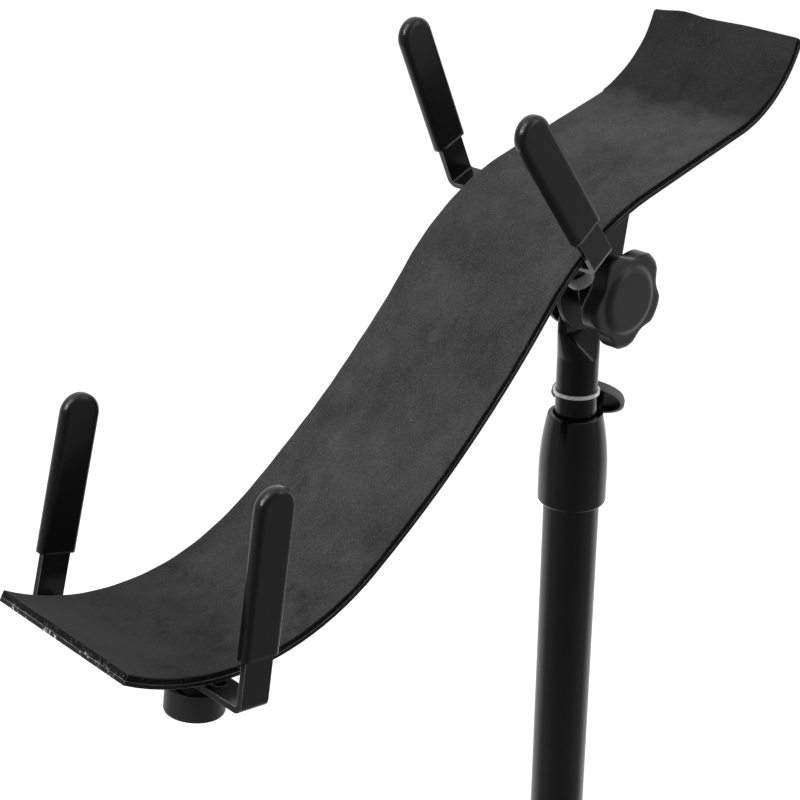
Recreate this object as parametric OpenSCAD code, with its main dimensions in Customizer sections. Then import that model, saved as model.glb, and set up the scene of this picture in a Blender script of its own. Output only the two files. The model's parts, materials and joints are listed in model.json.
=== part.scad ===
// Guitar stand: a padded, S-curved steel cradle that tilts on a telescopic pole with a folding base.
// Millimetres, +Z up, origin on the pole axis at floor level, X along the cradle with its low end at -X.

/* [Heights] */
// height of the tilt axis above the floor at rest
pivot_z = 720; // [690:1:900]
// top rim of the height collar
collar_top_z = 649; // [600:1:660]

/* [Cradle] */
// width of the curved plate and of its pad
plate_w = 94; // [70:1:130]
// thickness of the steel plate
plate_t = 2; // [1.2:0.1:3]
// thickness of the pad on the plate
pad_t = 2.8; // [1.5:0.1:5]
// corner radius at the four plate corners
corner_r = 2; // [1:0.5:12]
// radius of the low scoop that holds the body's edge
scoop_r = 120; // [100:1:160]
// turn of the low scoop in degrees
scoop_turn = 66; // [50:1:70]
// radius of the long back run
back_r = 520; // [400:5:700]
// turn of the long back run in degrees
back_turn = 16; // [10:1:20]
// radius of the crest under the upper arms
crest_r = 138; // [110:1:180]
// turn of the crest in degrees
crest_turn = 34; // [20:1:40]
// length of the straight run over the bracket
straight_len = 74; // [66:1:110]
// heading of the straight run in degrees
straight_head = 15.2; // [5:0.1:25]
// radius of the raised top end
top_r = 61; // [45:1:100]
// turn of the raised top end in degrees
top_turn = 55; // [20:1:65]
// start of the straight run before the pole axis
straight_x = -10.4; // [-20:0.1:0]
// height of that start above the tilt axis
straight_z = 61.9; // [55:0.1:80]

/* [Arms] */
// width of the flat steel strip
strip_w = 14.6; // [10:0.2:15.2]
// thickness of the steel strip
strip_t = 3; // [2:0.5:4]
// outer bend radius of the strip
bend_r = 4.5; // [4:0.5:8]
// free gap between the plate and a strip without a spacer
strip_gap = 0.35; // [0.3:0.05:1]
// how much lower a strip lies on its spacer
spacer_drop = 3.1; // [2:0.1:6]
// shortest distance from a stud to the outside of its finger
reach_min = 25.7; // [25.5:0.1:30]
// longest distance from a stud to the outside of its finger
reach_max = 63.5; // [45:0.5:64]
// reach of the near low arm
reach_near_low = 40.8; // [25.7:0.1:63.5]
// reach of the far low arm
reach_far_low = 37.9; // [25.7:0.1:63.5]
// reach of the near upper arm
reach_near_up = 26.9; // [25.7:0.1:63.5]
// reach of the far upper arm
reach_far_up = 37.8; // [25.7:0.1:63.5]
// height of the finger tips above the pad
finger_top = 89.7; // [60:0.1:120]
// width of a sleeve
sleeve_w = 19; // [17:0.5:26]
// thickness of a sleeve
sleeve_t = 6.5; // [6:0.5:10]
// distance of the studs from the plate's long edges
stud_inset = 19.5; // [16:0.5:24]
// diameter of the small clamp knob on the near low arm
small_knob_d = 27; // [20:1:30]
// height of that knob's skirt
small_knob_h = 12.7; // [8:0.1:16]
// diameter of the cap knob on the near upper arm
cap_knob_d = 13; // [12:0.5:18]
// height of that cap knob
cap_knob_h = 10; // [8:0.5:14]

/* [Tilt joint] */
// largest diameter of the star knob over its lobes
star_d = 52.4; // [40:0.2:60]
// number of lobes on the star knob
star_lobes = 5; // [5:1:7]
// depth of the valleys between the lobes
star_valley = 5.4; // [3:0.1:8]
// angle of one lobe about the tilt axis
star_phase = -24; // [-36:1:36]
// radius of the bracket ears around the tilt axis
ear_r = 22; // [18:0.5:26]
// thickness of one bracket ear
ear_t = 2.5; // [2:0.1:4]

/* [Tubes] */
// outer diameter of the outer tube
outer_d = 30; // [26:0.5:36]
// outer diameter of the inner tube
inner_d = 22; // [18:0.5:24]
// wall of both tubes
wall_t = 1.5; // [1:0.1:2.5]
// bottom end of the inner tube at rest
inner_low_z = 200; // [150:5:300]
// diameter of the clamp knob on the collar
clamp_knob_d = 40; // [30:1:42]

/* [Base] */
// distance of the feet from the pole axis
foot_r = 306; // [250:1:360]
// diameter of the leg tubes
leg_d = 19; // [16:0.5:22]
// height of the hinge pins above the floor
pin_z = 78; // [60:1:110]
// diameter of the rubber feet
foot_d = 26; // [22:1:34]

/* [Hidden] */
tiny = 0.1;
fit = 0.05;
half_w = plate_w / 2;
skin_t = plate_t + pad_t;

seg_r = [scoop_r, back_r, crest_r, 0, top_r];
seg_a = [scoop_turn, back_turn, -crest_turn, 0, top_turn];
function arc_len(r, a) = r * abs(a) * PI / 180;
seg_l = [for (i = [0:4]) seg_r[i] == 0 ? straight_len : arc_len(seg_r[i], seg_a[i])];
straight_s = seg_l[0] + seg_l[1] + seg_l[2];
total_s = straight_s + seg_l[3] + seg_l[4];
start_head = straight_head + crest_turn - back_turn - scoop_turn;

// one step of d along run i from p = [x, z, heading]
function turned(i, d) = seg_r[i] == 0 ? 0 : sign(seg_a[i]) * d / seg_r[i] * 180 / PI;
function bent_x(p, r, t) = p[0] + r * (sin(p[2] + t) - sin(p[2]));
function bent_z(p, r, t) = p[1] - r * (cos(p[2] + t) - cos(p[2]));
function bent(p, r, t) = [bent_x(p, r, t), bent_z(p, r, t), p[2] + t];
function onward(p, d) = [p[0] + d * cos(p[2]), p[1] + d * sin(p[2]), p[2]];
function moved(p, i, d) = seg_r[i] == 0 ? onward(p, d) : bent(p, sign(seg_a[i]) * seg_r[i], turned(i, d));
function stays(s, i) = i == 4 || s <= seg_l[i];
function walk(s, i, p) = stays(s, i) ? moved(p, i, s) : walk(s - seg_l[i], i + 1, moved(p, i, seg_l[i]));
raw_straight = walk(straight_s, 0, [0, 0, start_head]);
shift_x = straight_x - raw_straight[0];
shift_z = pivot_z + straight_z - raw_straight[1];
function on_curve(s) = walk(s, 0, [shift_x, shift_z, start_head]);

stud_y = half_w - stud_inset;
stud_r = 3;
stud_sunk = 0.2;
slot_r = stud_r + 0.2;
arm_s = [52.5, 36.2, straight_s - 45.4, straight_s - 20.3];
arm_near = [true, false, true, false];
arm_reach = [reach_near_low, reach_far_low, reach_near_up, reach_far_up];
arm_drop = [spacer_drop, spacer_drop, spacer_drop, 0];
// lean of an arm along the cradle, and how far its finger opens outwards past square
arm_lean = [0, 0, 2.7, 0];
arm_open = [1.9, 0, 0, 0];
sleeve_from = [14.3, 14.7, 12.5, 15];
sleeve_to = [finger_top, finger_top, finger_top - 3.9, finger_top - 3.6];
function strip_top(i) = -skin_t - strip_gap - arm_drop[i];
function strip_low(i) = strip_top(i) - strip_t;
sleeve_skin = (sleeve_t - strip_t) / 2;
sleeve_edge = 2.4;
sleeve_cap = 7.3;
bend_steps = 12;
spacer_top = -skin_t - 0.5;
spacer_r = 7;
nut_h = 5;
nut_washer_t = 1.2;
small_rim_n = strip_low(0) - 3.6;
small_low_n = small_rim_n - small_knob_h;
small_top_n = strip_low(0) - 0.3;
small_skirt_t = 1.6;
small_cap_t = 2.5;
small_hub_r = 7.2;
insert_r = 5;
cap_low_n = small_top_n - cap_knob_h;
cap_insert_r = 4.2;

slab_t = 6;
inner_r = inner_d / 2;
slab_w = PI * (inner_r - slab_t / 2) + slab_t;
slab_low_z = pivot_z - 22.5;
neck_z = slab_low_z - 16;
bolt_r = 4;
ear_y = slab_t / 2 + tiny;
ear_out_y = ear_y + ear_t;
washer_t = 1.5;
washer_r = 9;
washer_out_y = ear_out_y + tiny + washer_t;
flange_s0 = straight_s + 2;
flange_s1 = straight_s + 56;
flange_t = 2.5;
flange_w = 46;
flange_top = -skin_t - tiny;
flange_low = flange_top - flange_t;
flange_mid_s = (flange_s0 + flange_s1) / 2;
flange_pitch = 38;
flange_gauge = 32;
small_stud_r = 2.5;

star_r = star_d / 2;
star_back_y = 22;
star_face_y = 31.7;
star_cap_t = 1.8;
star_cap_r = 14;
star_cap_edge = 5.5;
star_neck_r = 10;
star_insert_r = 6;
star_points = 100;
function lobed(a) = star_r - star_valley / 2 + star_valley / 2 * cos(star_lobes * (a - star_phase));

outer_r = outer_d / 2;
outer_bore_r = outer_r - wall_t;
outer_low_z = 30;
outer_top_z = collar_top_z - 27;
collar_low_z = collar_top_z - 51;
collar_r = outer_r + 3.3;
collar_rim_r = outer_r - 0.3;
collar_rim_edge = 1;
collar_low_edge = 2;
bow_h = 33;
bow_in = collar_r - collar_rim_r;
bow_r = (bow_h * bow_h + bow_in * bow_in) / 2 / bow_in;
bow_low_z = collar_top_z - collar_rim_edge - bow_h;
bow_steps = 12;
collar_step_z = outer_top_z + 3;
collar_bore_r = inner_r + 0.9;
bush_low_z = outer_top_z - 62;
clamp_az = 27.5;
clamp_el = 46;
clamp_z = collar_top_z - 19.5;
clamp_r = clamp_knob_d / 2;
clamp_rim_t = 22.8;
clamp_cap_t = 28;
clamp_boss_r = 8;
clamp_boss_end = 16;
clamp_hub_r = 8.5;
clamp_stud_r = 4;
stop_h = 30;
stop_r = outer_bore_r - tiny;

hub_r = 27;
hub_low_z = 20;
hub_top_z = pin_z + 14;
pin_r = hub_r + leg_d / 2 + 1.5;
tongue_t = 12;
tongue_r = leg_d / 2;
slot_w = tongue_t + 0.4;
leg_pin_r = 4;
foot_axis_z = 12;
leg_drop = atan((pin_z - foot_axis_z) / (foot_r - pin_r));
cheek_t = 6;
cheek_r = tongue_r + 1.5;
cheek_out_y = slot_w / 2 + cheek_t;
web_t = 4;
web_top_z = pin_z - cheek_r * tan(leg_drop) - tongue_r / cos(leg_drop) - 0.4;
cheek_low_z = web_top_z - web_t;
leg_len = (foot_r - pin_r) / cos(leg_drop);
leg_start = 26;
leg_wall = 1.5;
plug_len = 30;
cap_len = 38;
cap_r = leg_d / 2 + 2.5;

black = [0.06, 0.06, 0.065];
dark = [0.09, 0.09, 0.1];
foam = [0.16, 0.16, 0.17];
steel = [0.7, 0.7, 0.72];
brass = [0.78, 0.62, 0.32];

// places its children on the pad's top line: local X along it, local Z square to it
module on_cradle(s) {
    p = on_curve(s);
    translate([p[0], 0, p[1]])
        rotate([0, -p[2], 0])
            children();
}

// one run of the sheet between the levels m0 and m1; the second and fourth run are a hair thinner and
// reach a little into their neighbours, which ties the runs into one piece
module sheet_run(i, m0, m1) {
    starts = [0, seg_l[0], seg_l[0] + seg_l[1], straight_s, straight_s + seg_l[3]];
    inner = i == 1 || i == 3;
    hair = inner ? 0.02 : 0;
    more = inner ? 0.5 : 0;
    n0 = m0 + hair;
    n1 = m1 - hair;
    wide = plate_w - 2 * hair;
    p = on_curve(starts[i]);
    q = on_curve(starts[i] + seg_l[i]);
    up = seg_a[i] > 0 ? 1 : -1;
    r = seg_r[i];
    if (r == 0) {
        translate([p[0], 0, p[1]])
            rotate([0, -p[2], 0])
                translate([-more, -wide / 2, n0])
                    cube([seg_l[i] + 2 * more, wide, n1 - n0]);
    } else {
        cx = p[0] - up * r * sin(p[2]);
        cz = p[1] + up * r * cos(p[2]);
        near_r = up > 0 ? r - n1 : r + n0;
        over = more / r * 180 / PI;
        from = (up > 0 ? p[2] - 90 : q[2] + 90) - over;
        translate([cx, 0, cz])
            rotate([90, 0, 0])
                rotate_extrude(angle = abs(seg_a[i]) + 2 * over, start = from)
                    translate([near_r, -wide / 2])
                        square([n1 - n0, wide]);
    }
}

// takes the four sharp corners off the sheet's ends
module corner_cut(s, way) {
    deep = 24;
    on_cradle(s)
        for (y = [-1, 1])
            difference() {
                translate([way > 0 ? -1 : -corner_r, y > 0 ? half_w - corner_r : -half_w - 1, -deep / 2])
                    cube([corner_r + 1, corner_r + 1, deep]);
                translate([way * corner_r, y * (half_w - corner_r), -deep])
                    cylinder(r = corner_r, h = 2 * deep);
            }
}

module sheet(n0, n1) {
    difference() {
        union() {
            for (i = [0:4])
                sheet_run(i, n0, n1);
        }
        corner_cut(0, 1);
        corner_cut(total_s, -1);
    }
}

// places its children on arm i as if it were on the +Y side
module on_arm(i) {
    on_cradle(arm_s[i])
        rotate([0, -arm_lean[i], 0])
            if (arm_near[i])
                mirror([0, 1, 0])
                    children();
            else
                children();
}

module at_studs(list) {
    for (i = list)
        on_arm(i)
            translate([0, stud_y, 0])
                children();
}

module at_flange_studs() {
    on_cradle(flange_mid_s)
        for (x = [-1, 1], y = [-1, 1])
            translate([x * flange_pitch / 2, y * flange_gauge / 2, 0])
                children();
}

module cradle_plate() {
    color(dark)
        difference() {
            sheet(-skin_t, -pad_t);
            at_studs([0:3])
                translate([0, 0, -skin_t - 1])
                    cylinder(r = stud_r + fit, h = plate_t + 2);
            at_flange_studs()
                translate([0, 0, -skin_t - 1])
                    cylinder(r = small_stud_r + fit, h = plate_t + 2);
        }
}

module cradle_pad() {
    color(foam)
        sheet(-pad_t + 0.05, 0);
}

module tilt_bracket() {
    p0 = on_curve(flange_s0 + 3);
    p1 = on_curve(flange_s1 - 12);
    a0 = [p0[0] - flange_low * -sin(p0[2]), p0[1] - pivot_z + flange_low * cos(p0[2])];
    a1 = [p1[0] - flange_low * sin(p1[2]), p1[1] - pivot_z + flange_low * cos(p1[2])];
    lift = [-sin(straight_head), cos(straight_head)];
    d0 = norm(a0);
    d1 = norm(a1);
    t0 = atan2(a0[1], a0[0]) + acos(ear_r / d0);
    t1 = atan2(a1[1], a1[0]) - acos(ear_r / d1);
    color(black)
        difference() {
            union() {
                on_cradle(flange_s0)
                    translate([0, -flange_w / 2, flange_low])
                        cube([flange_s1 - flange_s0, flange_w, flange_t]);
                for (y = [-ear_y, ear_out_y])
                    translate([0, y, pivot_z])
                        rotate([90, 0, 0])
                            linear_extrude(ear_t)
                                union() {
                                    circle(r = ear_r);
                                    polygon([
                                        [0, 0],
                                        [ear_r * cos(t1), ear_r * sin(t1)],
                                        a1,
                                        a1 + lift,
                                        a0 + lift,
                                        a0,
                                        [ear_r * cos(t0), ear_r * sin(t0)]
                                    ]);
                                }
            }
            translate([0, ear_out_y + 1, pivot_z])
                rotate([90, 0, 0])
                    cylinder(r = bolt_r + fit, h = 2 * ear_out_y + 2);
            at_flange_studs()
                translate([0, 0, flange_low - 1])
                    cylinder(r = small_stud_r + fit, h = flange_t + 2);
        }
}

module bracket_studs() {
    color(steel)
        at_flange_studs()
            translate([0, 0, flange_low - 6])
                cylinder(r = small_stud_r, h = 6 - flange_low - pad_t - tiny);
}

module bracket_nuts() {
    color(steel)
        at_flange_studs()
            difference() {
                translate([0, 0, flange_low - 4 - tiny])
                    cylinder(r = 4.6, h = 4, $fn = 6);
                translate([0, 0, flange_low - 5])
                    cylinder(r = small_stud_r + fit, h = 6);
            }
}

module arm_stud(i) {
    end_n = [
        small_low_n + small_cap_t + 1,
        strip_low(1) - nut_washer_t - nut_h - 2,
        cap_low_n + small_cap_t + 1,
        strip_low(3) - nut_washer_t - nut_h - 2
    ][i];
    top_n = -pad_t - stud_sunk;
    at_studs([i])
        translate([0, 0, end_n])
            cylinder(r = stud_r, h = top_n - end_n);
}

module arm_studs() {
    color(steel)
        for (i = [0:3])
            arm_stud(i);
}

// spacer rings that keep three of the strips clear of the curved plate
module arm_spacers() {
    color(steel)
        for (i = [0:2])
            at_studs([i])
                difference() {
                    translate([0, 0, strip_top(i) + tiny])
                        cylinder(r = spacer_r, h = spacer_top - strip_top(i) - tiny);
                    translate([0, 0, strip_top(i) - 1])
                        cylinder(r = stud_r + fit, h = spacer_drop + 2);
                }
}

// washers and locking nuts under the two far strips
module far_washers() {
    color(steel)
        for (i = [1, 3])
            at_studs([i])
                translate([0, 0, strip_low(i) - tiny - nut_washer_t])
                    difference() {
                        cylinder(r = 6.2, h = nut_washer_t);
                        translate([0, 0, -1])
                            cylinder(r = stud_r + fit, h = nut_washer_t + 2);
                    }
}

module far_nuts() {
    color(steel)
        for (i = [1, 3])
            at_studs([i])
                translate([0, 0, strip_low(i) - 2 * tiny - nut_washer_t - nut_h])
                    difference() {
                        cylinder(r = 5.75, h = nut_h, $fn = 6);
                        translate([0, 0, -1])
                            cylinder(r = stud_r + fit, h = nut_h + 2);
                    }
}

module pivot_bolt() {
    tip_y = 26;
    color(steel)
        translate([0, washer_out_y + tiny, pivot_z])
            rotate([90, 0, 0]) {
                cylinder(r = bolt_r, h = washer_out_y + tiny + tip_y);
                translate([0, 0, -5.3])
                    cylinder(r = 7.5, h = 5.3, $fn = 6);
            }
}

module pivot_washers() {
    color(steel)
        for (y = [-ear_out_y - tiny, washer_out_y])
            translate([0, y, pivot_z])
                rotate([90, 0, 0])
                    difference() {
                        cylinder(r = washer_r, h = washer_t);
                        translate([0, 0, -1])
                            cylinder(r = bolt_r + fit, h = washer_t + 2);
                    }
}

// star knob with softened rims, a low round cap on its face and a neck towards the ear
module star_knob() {
    body_h = star_face_y - star_back_y;
    edge = 2.4;
    neck_y = washer_out_y + tiny;
    color(black)
        translate([0, 0, pivot_z])
            rotate([90, 0, 0])
                difference() {
                    union() {
                        intersection() {
                            translate([0, 0, star_back_y])
                                linear_extrude(body_h)
                                    polygon([
                                        for (k = [0:star_points - 1])
                                            let (a = k * 360 / star_points)
                                            lobed(a) * [cos(a), sin(a)]
                                    ]);
                            rotate_extrude()
                                polygon([
                                    [0, star_back_y],
                                    [star_r - edge / 2, star_back_y],
                                    [star_r + tiny, star_back_y + edge / 2],
                                    [star_r + tiny, star_face_y - edge],
                                    [star_r - edge / 3, star_face_y - edge / 3],
                                    [star_r - edge, star_face_y],
                                    [0, star_face_y]
                                ]);
                        }
                        rotate_extrude()
                            union() {
                                translate([0, star_face_y - 1])
                                    square([star_cap_r, star_cap_t + 1]);
                                translate([star_cap_r, star_face_y + star_cap_t - star_cap_edge])
                                    circle(r = star_cap_edge);
                            }
                        translate([0, 0, neck_y])
                            cylinder(r1 = star_neck_r, r2 = star_neck_r + 1.5, h = star_back_y - neck_y + 1);
                    }
                    translate([0, 0, neck_y - 1])
                        cylinder(r = star_insert_r + fit, h = 29 - neck_y);
                }
}

module star_insert() {
    in_y = washer_out_y + tiny;
    color(brass)
        translate([0, -in_y, pivot_z])
            rotate([90, 0, 0])
                difference() {
                    cylinder(r = star_insert_r, h = 27.5 - in_y);
                    translate([0, 0, -1])
                        cylinder(r = bolt_r + fit, h = 27.5 - in_y);
                }
}

// places its children at the bend of arm i, with local Z along its finger
module on_finger(i) {
    translate([0, stud_y + arm_reach[i] - sleeve_skin - bend_r, strip_low(i) + bend_r])
        rotate([-arm_open[i], 0, 0])
            children();
}

// side outline of a strip: foot, bend and finger
module strip_outline(i, in_y, bend_y) {
    low_n = strip_low(i);
    rise = sleeve_to[i] - sleeve_cap - low_n - bend_r;
    open = arm_open[i];
    c = [bend_y, low_n + bend_r];
    out = [cos(open), -sin(open)];
    up = [sin(open), cos(open)];
    in_r = bend_r - strip_t;
    angles = [for (k = [0:bend_steps]) -90 + k * (90 - open) / bend_steps];
    polygon([
        [in_y, low_n],
        for (a = angles) c + bend_r * [cos(a), sin(a)],
        c + bend_r * out + rise * up,
        c + in_r * out + rise * up,
        for (k = [0:bend_steps]) c + in_r * [cos(angles[bend_steps - k]), sin(angles[bend_steps - k])],
        [in_y, low_n + strip_t]
    ]);
}

// one strip arm: the slotted foot under the plate, the bend and the finger
module strip_arm(i) {
    bend_y = stud_y + arm_reach[i] - sleeve_skin - bend_r;
    slot_y0 = stud_y + arm_reach[i] - reach_max;
    slot_y1 = stud_y + arm_reach[i] - reach_min;
    low_n = strip_low(i);
    color(dark)
        on_arm(i)
            difference() {
                rotate([90, 0, 90])
                    translate([0, 0, -strip_w / 2])
                        linear_extrude(strip_w)
                            strip_outline(i, slot_y0 - slot_r - 6, bend_y);
                translate([-slot_r, slot_y0, low_n - 1])
                    cube([2 * slot_r, slot_y1 - slot_y0, strip_t + 2]);
                for (y = [slot_y0, slot_y1])
                    translate([0, y, low_n - 1])
                        cylinder(r = slot_r, h = strip_t + 2);
            }
}

// outline of a sleeve across its finger, with rounded corners
module sleeve_section() {
    flat_w = sleeve_w - 2 * sleeve_edge;
    flat_t = sleeve_t - 2 * sleeve_edge;
    square([sleeve_w, flat_t], center = true);
    square([flat_w, sleeve_t], center = true);
    for (x = [-1, 1], y = [-1, 1])
        translate([x * flat_w / 2, y * flat_t / 2])
            circle(r = sleeve_edge);
}

// right half of that outline, for the round tip
module sleeve_half() {
    flat_w = sleeve_w / 2 - sleeve_edge;
    flat_t = sleeve_t - 2 * sleeve_edge;
    translate([0, -flat_t / 2])
        square([sleeve_w / 2, flat_t]);
    translate([0, -sleeve_t / 2])
        square([flat_w, sleeve_t]);
    for (y = [-1, 1])
        translate([flat_w, y * flat_t / 2])
            circle(r = sleeve_edge);
}

// one plastic sleeve, rounded along its edges and over its round tip
module finger_sleeve(i) {
    base_n = strip_low(i) + bend_r;
    from = sleeve_from[i] - base_n;
    turn_z = sleeve_to[i] - base_n - sleeve_w / 2;
    pocket_z = sleeve_to[i] - sleeve_cap - base_n + tiny;
    color(black)
        on_arm(i)
            on_finger(i)
                translate([0, bend_r - strip_t / 2, 0])
                    difference() {
                        union() {
                            translate([0, 0, from])
                                linear_extrude(turn_z - from)
                                    sleeve_section();
                            translate([0, 0, turn_z])
                                rotate([90, 0, 0])
                                    rotate_extrude()
                                        sleeve_half();
                        }
                        translate([-strip_w / 2 - fit, -strip_t / 2 - fit, from - 1])
                            cube([strip_w + 2 * fit, strip_t + 2 * fit, pocket_z - from + 1]);
                    }
}

// small clamp knob: an open cup with a hub that reaches up to the strip
module small_knob() {
    r = small_knob_d / 2;
    round = 1.2;
    color(black)
        translate([0, stud_y, 0])
            difference() {
                rotate_extrude()
                    polygon([
                        [0, small_low_n],
                        [r - round, small_low_n],
                        [r - round * 0.3, small_low_n + round * 0.3],
                        [r, small_low_n + round],
                        [r, small_rim_n],
                        [r - small_skirt_t, small_rim_n],
                        [r - small_skirt_t - 0.4, small_low_n + small_cap_t],
                        [small_hub_r + 0.5, small_low_n + small_cap_t],
                        [small_hub_r, small_top_n],
                        [0, small_top_n]
                    ]);
                translate([0, 0, small_low_n + small_cap_t - 0.5])
                    cylinder(r = insert_r + fit, h = small_top_n - small_low_n);
            }
}

// cap knob: a small closed round cap against the strip
module cap_knob() {
    r = cap_knob_d / 2;
    round = 1;
    color(black)
        translate([0, stud_y, 0])
            difference() {
                rotate_extrude()
                    polygon([
                        [0, cap_low_n],
                        [r - round, cap_low_n],
                        [r - round * 0.3, cap_low_n + round * 0.3],
                        [r, cap_low_n + round],
                        [r, small_top_n],
                        [0, small_top_n]
                    ]);
                translate([0, 0, cap_low_n + small_cap_t - 0.5])
                    cylinder(r = cap_insert_r + fit, h = cap_knob_h);
            }
}

// threaded insert of a small knob whose underside is at knob_low
module small_insert(knob_low, r) {
    low_n = knob_low + small_cap_t - 0.4;
    color(brass)
        translate([0, stud_y, 0])
            difference() {
                translate([0, 0, low_n])
                    cylinder(r = r, h = small_top_n - low_n + 0.1);
                translate([0, 0, low_n + 0.8])
                    cylinder(r = stud_r + fit, h = small_top_n - low_n);
            }
}

module arm_near_low() {
    strip_arm(0);
}

module sleeve_near_low() {
    finger_sleeve(0);
}

module arm_far_low() {
    strip_arm(1);
}

module sleeve_far_low() {
    finger_sleeve(1);
}

module arm_near_up() {
    strip_arm(2);
}

module sleeve_near_up() {
    finger_sleeve(2);
}

module arm_far_up() {
    strip_arm(3);
}

module sleeve_far_up() {
    finger_sleeve(3);
}

module knob_near_low() {
    on_arm(0)
        small_knob();
}

module insert_near_low() {
    on_arm(0)
        small_insert(small_low_n, insert_r);
}

module knob_near_up() {
    on_arm(2)
        cap_knob();
}

module insert_near_up() {
    on_arm(2)
        small_insert(cap_low_n, cap_insert_r);
}

// stadium-shaped section of the flattened tube end
module flat_oval(w, t) {
    square([w - t, t], center = true);
    for (x = [-1, 1])
        translate([x * (w - t) / 2, 0])
            circle(r = t / 2);
}

// tube that is pressed flat at its top and rounded around the tilt axis
module inner_tube() {
    thin = 0.02;
    head_r = slab_w / 2;
    color(dark)
        difference() {
            union() {
                translate([0, 0, inner_low_z + 0.2])
                    cylinder(r = inner_r, h = neck_z - inner_low_z - 0.2);
                hull() {
                    translate([0, 0, neck_z - thin])
                        linear_extrude(thin)
                            circle(r = inner_r, $fn = 40);
                    translate([0, 0, slab_low_z])
                        linear_extrude(thin)
                            union() {
                                square([slab_w - slab_t, slab_t], center = true);
                                for (x = [-1, 1])
                                    translate([x * (slab_w - slab_t) / 2, 0])
                                        circle(r = slab_t / 2, $fn = 20);
                            }
                }
                intersection() {
                    translate([0, 0, slab_low_z])
                        linear_extrude(pivot_z + head_r - slab_low_z)
                            flat_oval(slab_w, slab_t);
                    translate([0, slab_t, 0])
                        rotate([90, 0, 0])
                            linear_extrude(2 * slab_t)
                                union() {
                                    translate([-head_r, slab_low_z - 1])
                                        square([2 * head_r, pivot_z - slab_low_z + 1]);
                                    translate([0, pivot_z])
                                        circle(r = head_r);
                                }
                }
            }
            translate([0, 0, inner_low_z - 1])
                cylinder(r = inner_r - wall_t, h = neck_z - inner_low_z + 1);
            hull() {
                translate([0, 0, neck_z - 1])
                    linear_extrude(thin)
                        circle(r = inner_r - wall_t - thin, $fn = 32);
                translate([0, 0, slab_low_z])
                    linear_extrude(thin)
                        square([slab_w - 2 * wall_t - 3, slab_t - 2 * wall_t], center = true);
            }
            translate([-(slab_w - 2 * wall_t - 3) / 2, -(slab_t - 2 * wall_t) / 2, slab_low_z - 1])
                cube([slab_w - 2 * wall_t - 3, slab_t - 2 * wall_t, 2 * head_r]);
            translate([0, slab_t, pivot_z])
                rotate([90, 0, 0])
                    cylinder(r = bolt_r + fit, h = 2 * slab_t);
        }
}

module ring(r_in, r_out, z0, z1) {
    translate([0, 0, z0])
        difference() {
            cylinder(r = r_out, h = z1 - z0);
            translate([0, 0, -1])
                cylinder(r = r_in, h = z1 - z0 + 2);
        }
}

module height_ring() {
    ring_z = pivot_z - 59.3;
    color(steel)
        ring(inner_r + fit, inner_r + 1.2, ring_z, ring_z + 2);
}

module tube_stop() {
    color(black)
        difference() {
            translate([0, 0, inner_low_z - 4])
                cylinder(r = stop_r, h = stop_h);
            translate([0, 0, inner_low_z])
                cylinder(r = inner_r + fit, h = stop_h);
        }
}

module guide_bush() {
    color(black)
        difference() {
            union() {
                translate([0, 0, bush_low_z])
                    cylinder(r = outer_bore_r - fit, h = outer_top_z - bush_low_z + 1);
                translate([0, 0, outer_top_z + tiny])
                    cylinder(r = outer_r - 0.3, h = collar_step_z - outer_top_z - 2 * tiny);
            }
            translate([0, 0, bush_low_z - 1])
                cylinder(r = inner_r + fit, h = collar_step_z - bush_low_z + 2);
        }
}

// places its children on the inclined clamp axis, with local Z pointing away from the pole
module on_clamp() {
    rotate([0, 0, clamp_az])
        translate([inner_r, 0, clamp_z])
            rotate([0, 90 - clamp_el, 0])
                children();
}

// half section of the collar: straight below, bowed in to its rim above, round at both ends
module collar_profile() {
    translate([0, collar_low_z])
        square([collar_r - collar_low_edge, collar_low_edge]);
    translate([collar_r - collar_low_edge, collar_low_z + collar_low_edge])
        circle(r = collar_low_edge);
    translate([0, collar_low_z + collar_low_edge])
        square([collar_r, bow_low_z - collar_low_z - collar_low_edge]);
    polygon([
        [0, bow_low_z],
        for (k = [0:bow_steps])
            let (h = k * bow_h / bow_steps)
            [collar_r - bow_r + sqrt(bow_r * bow_r - h * h), bow_low_z + h],
        [0, bow_low_z + bow_h]
    ]);
    translate([0, collar_top_z - collar_rim_edge])
        square([collar_rim_r - collar_rim_edge, collar_rim_edge]);
    translate([collar_rim_r - collar_rim_edge, collar_top_z - collar_rim_edge])
        circle(r = collar_rim_edge);
}

module clamp_collar() {
    color(black)
        difference() {
            union() {
                rotate_extrude()
                    collar_profile();
                on_clamp()
                    translate([0, 0, 4])
                        cylinder(r = clamp_boss_r, h = clamp_boss_end - 4);
            }
            translate([0, 0, collar_low_z - 1])
                cylinder(r = outer_r + fit, h = collar_step_z - collar_low_z + 1);
            translate([0, 0, collar_low_z - 1])
                cylinder(r = collar_bore_r, h = collar_top_z - collar_low_z + 2);
            on_clamp()
                cylinder(r = clamp_stud_r + fit, h = clamp_boss_end + 1);
            for (a = [clamp_az - 45, clamp_az + 45])
                rotate([0, 0, a])
                    translate([outer_r - 1, 0, collar_low_z + 10])
                        rotate([0, 90, 0])
                            cylinder(r = 2 + fit, h = 6);
        }
}

module collar_pins() {
    color(steel)
        for (a = [clamp_az - 45, clamp_az + 45])
            rotate([0, 0, a])
                translate([outer_r + tiny, 0, collar_low_z + 10])
                    rotate([0, 90, 0])
                        cylinder(r = 2, h = collar_r - outer_r - 0.5);
}

module clamp_screw() {
    tip = 2;
    tip_r = tip - 0.5;
    color(steel)
        on_clamp() {
            translate([0, 0, tip])
                cylinder(r1 = tip_r, r2 = clamp_stud_r, h = clamp_stud_r - tip_r);
            translate([0, 0, tip + clamp_stud_r - tip_r])
                cylinder(r = clamp_stud_r, h = clamp_cap_t - 4 - tip - clamp_stud_r + tip_r);
        }
}

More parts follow.
